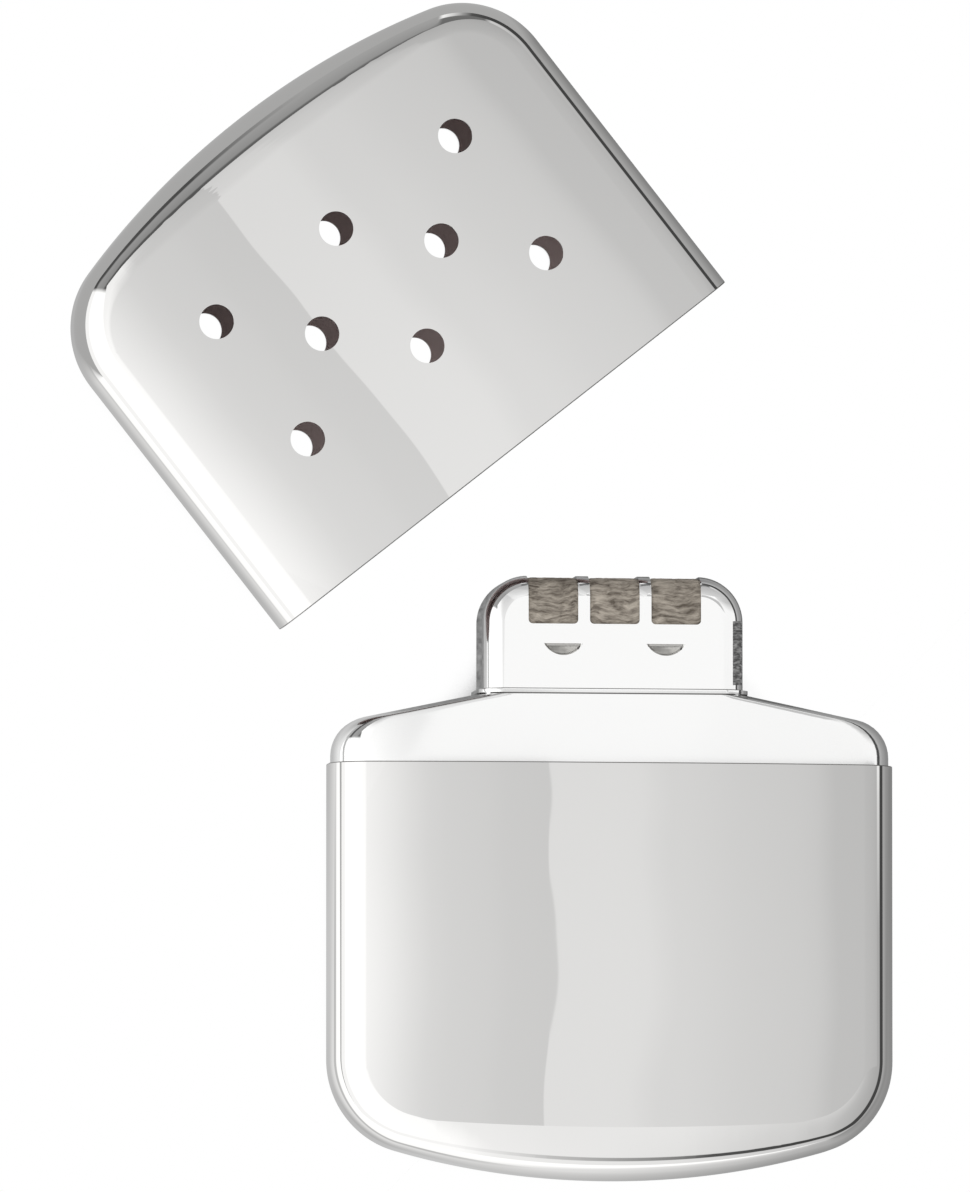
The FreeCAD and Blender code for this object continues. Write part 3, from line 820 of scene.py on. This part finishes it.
def tent_material():
    """Pale all round, whiter to the left, with a dark foot to the right and dark flags behind."""
    material, tree = bare_material("Light tent")
    aim = vector_math(tree, "NORMALIZE", own_place(tree))
    parts = join(tree, "SeparateXYZ", {0: aim}).outputs
    across, along, height = parts["X"], parts["Y"], parts["Z"]
    wave = math_node(tree, "SUBTRACT", noise(tree, aim, 3.0), 0.5)

    level = gradient(tree, across, [(-0.4, 1.3), (-0.1, 1.25), (-0.02, 1.06), (0.12, 1.0), (0.28, 0.82),
                                    (0.6, 0.62), (1, 0.48)])
    even = gradient(tree, along, [(0.03, 0), (0.09, 1.0), (0.3, 1.0), (0.6, 0.4), (1, 0.0)])
    level = math_node(tree, "MAXIMUM", level, even)
    ceiling = times(tree, band(tree, across, -0.16, 0.16, 0.02), band(tree, along, 0.04, 0.2, 0.03))
    level = mixed(tree, ceiling, level, 1.02)
    strip = times(tree, band(tree, across, -0.31, -0.2, 0.015), band(tree, along, 0.05, 0.6, 0.02))
    level = mixed(tree, strip, level, 0.15)

    # Beyond the burner
    behind = gradient(tree, along, [(0.17, 1.15), (0.2, 0.55), (0.32, 0.55), (0.38, 1.1), (0.7, 1.1),
                                    (0.76, 0.15), (1, 0.2)])
    back = times(tree, band(tree, across, -0.1, 0.34, 0.06), fade(tree, along, 0.15, 0.18))
    level = mixed(tree, back, level, behind)

    # Foot: a waving dark line low down, which climbs towards the near side
    foot = scaled(tree, wave, 0.06, height)
    foot_low = gradient(tree, along, [(-1, 0.24), (-0.85, 0.2), (-0.6, 0.0), (1, 0.0)])
    foot_high = gradient(tree, along, [(-1, 0.36), (-0.85, 0.34), (-0.6, 0.2), (1, 0.18)])
    above = fade(tree, math_node(tree, "SUBTRACT", foot, foot_low), -0.03, 0.0)
    below = fade(tree, math_node(tree, "SUBTRACT", foot, foot_high), 0.03, 0.0)
    line = gradient(tree, across, [(-0.1, 1.15), (0.03, 0.8), (0.12, 0.45), (0.22, 0.1), (0.4, 0.06),
                                   (1, 0.07)])
    level = mixed(tree, times(tree, above, below), level, line)

    # Flags: a sector beyond the cap's crown, fainter on its right
    ahead = vector_math(tree, "DOT_PRODUCT", aim, CAP_ALONG)
    aside = math_node(tree, "SUBTRACT", vector_math(tree, "DOT_PRODUCT", aim, CAP_ACROSS), 0.08)
    half = scaled(tree, ahead, 0.42, 0.12)
    inside = math_node(tree, "SUBTRACT", half, math_node(tree, "ABSOLUTE", aside))
    sector = times(tree, fade(tree, inside, 0.0, 0.06), fade(tree, ahead, 0.3, 0.34))
    uneven = scaled(tree, wave, 0.12, height)
    flags = gradient(tree, uneven, [(0, 0.09), (0.13, 0.08), (0.19, 0.38), (0.48, 0.32), (0.54, 0.11),
                                    (0.64, 0.11), (0.68, 0.56), (1, 0.68)])
    faint = gradient(tree, uneven, [(0, 0.44), (0.19, 0.42), (0.48, 0.36), (0.54, 0.16), (0.64, 0.16),
                                    (0.68, 0.56), (1, 0.68)])
    flags = mixed(tree, fade(tree, aside, 0.0, 0.12), flags, faint)
    glow(tree, Strength=mixed(tree, sector, level, flags))
    return material


def backdrop_ray(tree):
    """1 for the rays that see the backdrop as plain white: camera, glossy and transmission."""
    path = join(tree, "LightPath").outputs
    seen = math_node(tree, "MAXIMUM", path["Is Camera Ray"], path["Is Glossy Ray"])
    return math_node(tree, "MAXIMUM", seen, path["Is Transmission Ray"])


def beside(tree, middle, turn, half):
    """Distance from an upright box with round corners; middle and half sizes in millimetres."""
    core = Vector((half[0] - BOX_CORNER, half[1] - BOX_CORNER, 1000)) * MM
    return use_group(tree, "Beside the box", Middle=Vector((*middle, 0)) * MM,
                     Turn=(0, 0, math.radians(turn)), Half=core)["Distance"]


def floor_material():
    """White to the camera save for a painted contact shadow and a painted shadow under both pieces; in
    the case's mirror painted greyer to the right.
    """
    material, tree = bare_material("Pale table")
    place = own_place(tree)
    parts = join(tree, "SeparateXYZ", {0: place}).outputs
    # Painted contact shadow: the table's glow darkens where the pieces close off its sky
    open_sky = join(tree, "AmbientOcclusion", {"Distance": 0.008}, samples=16).outputs["AO"]
    seen = gradient(tree, open_sky, [(0, 0.12), (0.1, 0.14), (0.26, 0.3), (0.36, 0.84), (0.44, 0.98),
                                     (0.5, 1.0), (1, 1.0)])
    tank = beside(tree, (0, 2), 0, (33.5, 26.6))
    cap_half = 25.3
    cap_middle = [corner + cap_half * way for corner, way in zip(CAP_CORNER, CAP_ALONG)]
    cap = beside(tree, cap_middle, CAP_TURN, (33.5, cap_half))
    burner = beside(tree, (0, 38), 0, (15.5, 8.8))
    near = math_node(tree, "MINIMUM", tank, cap)
    # Painted shadow under both pieces, where the table shows through the vents
    seen = mixed(tree, fade(tree, near, -0.0075, -0.0085), seen, 0.15)

    # Painted reflection: what the case mirrors of the table is painted darker than the table is lit, in
    # bands around both pieces, grey beyond the cap and as grainy painted shade by the burner
    across = scaled(tree, parts["Y"], 0.6, parts["X"])
    side = gradient(tree, across, [(-0.06, 1.0), (-0.03, 0.95), (0.0, 0.62), (0.03, 0.4), (0.06, 0.33),
                                   (0.12, 0.45)])
    plain = gradient(tree, near, [(0, 0.62), (0.006, 0.75), (0.02, 0.95), (0.1, 1.0)])
    banded_reflection = gradient(tree, near, [(0, 0.5), (0.002, 0.55), (0.008, 0.85), (0.013, 0.95), (0.016, 0.62),
                                    (0.022, 0.62), (0.026, 1.25), (0.1, 1.3)])
    mirrored = times(tree, mixed(tree, fade(tree, across, -0.035, -0.05), plain, banded_reflection), side)
    beyond = fade(tree, vector_math(tree, "DOT_PRODUCT", place, CAP_ALONG), 0.092, 0.1)
    mirrored = mixed(tree, beyond, mirrored, 0.48)
    # Painted shade by the burner, grainy and darker to its right, which the burner's sides mirror
    nook_shade = gradient(tree, burner, [(0, 0.22), (0.003, 0.22), (0.009, 0.28), (0.014, 0.6)])
    nook_shade = times(tree, nook_shade, scaled(tree, noise(tree, place, 1200.0), 1.6, 0.2))
    nook_shade = times(tree, nook_shade, gradient(tree, parts["X"], [(-0.01, 1.1), (0.01, 0.6)]))
    mirrored = mixed(tree, fade(tree, burner, 0.016, 0.009), mirrored, nook_shade)

    shade = mixed(tree, join(tree, "LightPath").outputs["Is Glossy Ray"], seen, mirrored)
    white = join(tree, "Emission", {"Color": shade, "Strength": 1.0})
    matt = join(tree, "BsdfDiffuse", {"Color": (0.82, 0.82, 0.82, 1)})
    mix = join(tree, "MixShader", {0: backdrop_ray(tree), 1: matt.outputs[0], 2: white.outputs[0]})
    join(tree, "OutputMaterial", {"Surface": mix.outputs[0]})
    return material


def side_flag():
    """Dark grainy card beside the burner that only its reflections show; the shut cap hides it."""
    flag = cuboid("burner_flag", (16.3 * MM, 37.8 * MM, 8.1 * MM), (0.1 * MM, 7.6 * MM, 10.2 * MM))
    material, tree = bare_material("Dark card")
    tall = join(tree, "Mapping", {"Vector": own_place(tree), "Scale": (1, 1, 0.15)}).outputs[0]
    grain = noise(tree, tall, 4200.0, 3.0)
    grey = join(tree, "MapRange", {"Value": grain, "From Min": 0.4, "From Max": 0.7, "To Min": 0.08,
                                   "To Max": 0.32}).outputs[0]
    glow(tree, Color=grey)
    flag.data.materials.append(material)
    return flag


def white_world():
    """Even light from all sides, plain white where the backdrop is seen."""
    world = bpy.data.worlds.new("White room")
    bpy.context.scene.world = world
    world.use_nodes = True
    tree = world.node_tree
    tree.nodes.clear()
    level = scaled(tree, backdrop_ray(tree), 0.2, 0.8)
    light = join(tree, "Background", {"Color": (1, 1, 1, 1), "Strength": level})
    join(tree, "OutputWorld", {"Surface": light.outputs[0]})


def light_panel(name, front, back, matrix, lengthwise):
    """Flat panel from front to back in millimetres, its right end bent backwards."""
    left, right = PANEL_LEFT, PANEL_RIGHT
    panel = primitive("plane", name, size=1, location=(0, 0, 0))
    begin_edit(panel)
    pick_all()
    bpy.ops.transform.resize(value=((right - left) * MM, (back - front) * MM, 1))
    bpy.ops.transform.translate(value=((left + right) / 2 * MM, (front + back) / 2 * MM, 0))
    pick_all()
    bpy.ops.mesh.bisect(plane_co=(PANEL_FOLD * MM, 0, 0), plane_no=(1, 0, 0))
    pick(panel, vertices=lambda p: p.x > 300 * MM and p.y > (front + back) / 2 * MM)
    bpy.ops.transform.translate(value=(0, PANEL_BEND * MM, 0))
    end_edit()
    panel.matrix_world = matrix
    panel.data.materials.append(panel_material(name.replace("_", " ").capitalize(), lengthwise))
    return panel


def add_camera():
    data = bpy.data.cameras.new("camera")
    data.sensor_width = 36
    data.lens = VIEW_DISTANCE * data.sensor_width / VIEW_HEIGHT
    data.clip_start, data.clip_end = 0.05, 20
    camera = bpy.data.objects.new("camera", data)
    bpy.context.scene.collection.objects.link(camera)
    target = Vector((-14.8, 44.5, 7)) * MM
    back_axis = Vector((-0.12, -0.07, 1)).normalized()
    right_axis = Vector((0, 1, 0)).cross(back_axis).normalized()
    up_axis = back_axis.cross(right_axis)
    turned = Matrix((right_axis, up_axis, back_axis)).transposed().to_4x4()
    camera.matrix_world = Matrix.Translation(target + back_axis * VIEW_DISTANCE) @ turned
    bpy.context.scene.camera = camera


# ---- Operators ----
class WarmerStep(bpy.types.Operator):
    bl_options = {"REGISTER", "UNDO"}

    @property
    def sizes(self):
        return bpy.context.scene.warmer_sizes

    @property
    def finish(self):
        return bpy.context.scene.warmer_finish


class WARMER_OT_tank(WarmerStep):
    """Draw the tank shell, crowned end down, open at the seam"""
    bl_idname = "warmer.tank"
    bl_label = "Tank shell"

    def execute(self, context):
        sizes, skins = self.sizes, case_skins(self.finish)
        tank = drawn_case("tank", sizes, sizes.tank_length, sizes.tank_wall, TANK_LIP, skins)
        turned = Matrix.Translation((0, SEAM_Y, 0)) @ Matrix.Rotation(math.pi, 4, "Z")
        settle(tank, turned, exact=case_normals(sizes))
        finish_with(tank, "polished_case", *skins)
        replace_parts(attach(tank, "tank"), "tank_shell")
        return {"FINISHED"}


class WARMER_OT_cap(WarmerStep):
    """Draw the cap shell, pierce its vents and lay it down beside the tank"""
    bl_idname = "warmer.cap"
    bl_label = "Cap shell"

    def execute(self, context):
        sizes, skins = self.sizes, case_skins(self.finish)
        cap = drawn_case("cap", sizes, sizes.cap_length, sizes.cap_wall, CAP_LIP, skins)
        drills = empty_piece("drills")
        for x, y in VENTS:
            bpy.ops.mesh.primitive_cylinder_add(vertices=48, radius=sizes.vent_diameter / 2,
                                                depth=20 * MM, location=(x * MM, y * MM, MID_Z))
        end_edit()
        combine(cap, "DIFFERENCE", drills)
        round_edges(cap, VENT_EDGE, 2)
        pole = Vector((HINGE_X, 0, 0))
        turn = Matrix.Rotation(math.radians(CAP_TURN), 4, "Z")
        swing = Matrix.Translation(pole) @ turn @ Matrix.Translation(-pole)
        placed = Matrix.Translation((0, SEAM_Y, 0)) @ swing @ Matrix.Translation((0, SEAM_GAP, 0))
        settle(cap, placed, exact=case_normals(sizes))
        finish_with(cap, "polished_case", *skins)
        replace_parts(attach(cap, "cap"), "cap_shell")
        return {"FINISHED"}


class WARMER_OT_shoulder(WarmerStep):
    """Press the shoulder that closes the tank under the burner"""
    bl_idname = "warmer.shoulder"
    bl_label = "Tank shoulder"

    def execute(self, context):
        skins = metal("Polished shoulder", self.finish.plating, 0.08), dull_steel(self.finish)
        shoulder = pressed_shoulder("shoulder", self.sizes, skins)
        settle(shoulder, Matrix.Translation((0, SEAM_Y, 0)))
        finish_with(shoulder, "polished_shoulder", *skins)
        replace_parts(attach(shoulder, "tank"), "tank_shoulder")
        return {"FINISHED"}


class WARMER_OT_burner(WarmerStep):
    """Form the burner housing with its windows and lances"""
    bl_idname = "warmer.burner"
    bl_label = "Burner housing"

    def execute(self, context):
        # The third skin, the dark edge metal, rounds the housing's cut foot: its raw edge, and painted
        # shade where the housing meets the neck's flange
        skins = (metal("Plated burner", self.finish.plating, 0.05, marks=0.06), dull_steel(self.finish),
                 sheared())
        housing = formed_housing("burner", self.sizes, skins)
        settle(housing, exact=face_normals(self.sizes))
        finish_with(housing, "plated_burner", *skins)
        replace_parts(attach(housing, "burner"), "burner_housing")
        return {"FINISHED"}


class WARMER_OT_catalyst(WarmerStep):
    """Fold the fibre mat that shows in the windows"""
    bl_idname = "warmer.catalyst"
    bl_label = "Catalyst mat"

    def execute(self, context):
        pad = catalyst_pad("catalyst", self.sizes)
        settle(pad, smooth=50)
        fibre, shade = self.finish.fibre, self.finish.fibre_dark
        finish_with(pad, "catalyst_fibre", fibrous("Catalyst fibre", fibre, shade, 1700, 0.00012))
        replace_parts(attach(pad, "burner"), "catalyst_mat")
        return {"FINISHED"}


class WARMER_OT_inner(WarmerStep):
    """Give the neck, sleeve, saddle, cotton and felt their finishes"""
    bl_idname = "warmer.inner"
    bl_label = "Neck and filling"

    def execute(self, context):
        finish, nodes = self.finish, frame["nodes"]
        plated = metal("Plated neck", finish.plating, 0.08, marks=0.08)
        bare = metal("Bare steel", (0.52, 0.51, 0.49), 0.3, marks=0.15)
        # The second colour of cotton and felt is painted shade in the low gaps between their fibres
        cotton = fibrous("Cotton wadding", finish.cotton, (0.62, 0.6, 0.56), 500, 0.0003, sheen=0.3)
        felt = fibrous("Felt", finish.felt, (0.5, 0.48, 0.44), 900, 0.0002, sheen=0.3)
        neck = copied("filler_neck", "neck")
        coat(neck, (plated, sheared()))
        # The flange's foot is rounded in the dark edge metal: painted shade in the joint where the
        # flange sits on the shoulder
        foot = SEAM_Y + self.sizes.shoulder_height
        begin_edit(neck)
        pick(neck, edges=lambda a, b: max(abs(a.y - foot), abs(b.y - foot)) < 2e-5
             and (abs(a.x) > FLANGE_X or abs(a.z - MID_Z) > FLANGE_Z))
        round_picked(FLANGE_BEVEL, 3, material=1)
        end_edit()
        round_edges(neck, HOUSING_EDGE, 2)
        settle(neck)
        finish_with(neck, "plated_neck", plated, sheared())
        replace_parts(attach(neck, "tank"), "filler_neck")
        for name in ("burner_sleeve", "catalyst_saddle"):
            finish_with(nodes[name], "bare_steel", bare)
        for node, name, slot, skin, voxel, rounds, lump, depth, fill in (
                ("cotton_wadding", "cotton", "cotton", cotton, 1.0 * MM, 8, 5 * MM, 1.2 * MM, 0.6),
                ("felt_pad", "felt", "felt", felt, 0.5 * MM, 4, 2 * MM, 0.2 * MM, 1.0)):
            soft = copied(node, name)
            soften(soft, voxel, rounds, lump, depth)
            settle(soft, smooth=80)
            finish_with(soft, slot, skin)
            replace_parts(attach(soft, "tank"), node)
        return {"FINISHED"}


class WARMER_OT_stage(WarmerStep):
    """Set up the table, the light tent, the panels over both pieces and the camera"""
    bl_idname = "warmer.stage"
    bl_label = "Table, light and camera"

    def execute(self, context):
        stage = context.scene.warmer_stage
        table = primitive("plane", "table", size=stage.floor_width, location=(0, 0, 0))
        table.data.materials.append(floor_material())

        tent = primitive("uv_sphere", "light_tent", segments=64, ring_count=48,
                         radius=stage.tent_radius)
        begin_edit(tent)
        pick_all()
        bpy.ops.mesh.bisect(plane_co=(0, 0, -0.002), plane_no=(0, 0, 1), clear_inner=True)
        end_edit()
        tent.data.materials.append(tent_material())

        up = Matrix.Translation((0, 0, stage.panel_height))
        corner = Matrix.Translation(Vector((*CAP_CORNER, 0)) * MM)
        over_cap = up @ (corner @ Matrix.Rotation(math.radians(CAP_TURN), 4, "Z"))
        panels = [light_panel("tank_panel", -12, 36.5, up, [(-12, 1.01), (10, 1.0), (36, 0.97)]),
                  light_panel("cap_panel", -5, 205, over_cap,
                              [(-5, 1.06), (12, 1.03), (40, 0.97), (80, 0.9), (205, 0.85)]),
                  side_flag()]
        for obj in (tent, *panels):
            obj.visible_camera = obj.visible_shadow = False
        white_world()
        add_camera()
        context.scene.view_settings.view_transform = "Standard"
        return {"FINISHED"}


STEPS = (WARMER_OT_tank, WARMER_OT_cap, WARMER_OT_shoulder, WARMER_OT_burner, WARMER_OT_catalyst,
         WARMER_OT_inner, WARMER_OT_stage)


class WARMER_PT_panel(bpy.types.Panel):
    bl_idname = "WARMER_PT_panel"
    bl_label = "Hand warmer"
    bl_space_type = "VIEW_3D"
    bl_region_type = "UI"
    bl_category = "Hand warmer"

    def draw(self, context):
        layout, scene = self.layout, context.scene
        for step in STEPS:
            layout.operator(step.bl_idname)
        for group in (scene.warmer_sizes, scene.warmer_finish, scene.warmer_stage):
            box = layout.box()
            for name in group.__annotations__:
                box.prop(group, name)


CLASSES = (WarmerSizes, WarmerFinish, WarmerStage, *STEPS, WARMER_PT_panel)


def register():
    for cls in CLASSES:
        bpy.utils.register_class(cls)
    bpy.types.Scene.warmer_sizes = PointerProperty(type=WarmerSizes)
    bpy.types.Scene.warmer_finish = PointerProperty(type=WarmerFinish)
    bpy.types.Scene.warmer_stage = PointerProperty(type=WarmerStage)


def unregister():
    del bpy.types.Scene.warmer_sizes, bpy.types.Scene.warmer_finish, bpy.types.Scene.warmer_stage
    for cls in reversed(CLASSES):
        bpy.utils.unregister_class(cls)


def main():
    register()
    make_groups()
    for step in ("tank", "cap", "shoulder", "burner", "catalyst", "inner", "stage"):
        getattr(bpy.ops.warmer, step)()


if __name__ == "__main__":
    main()
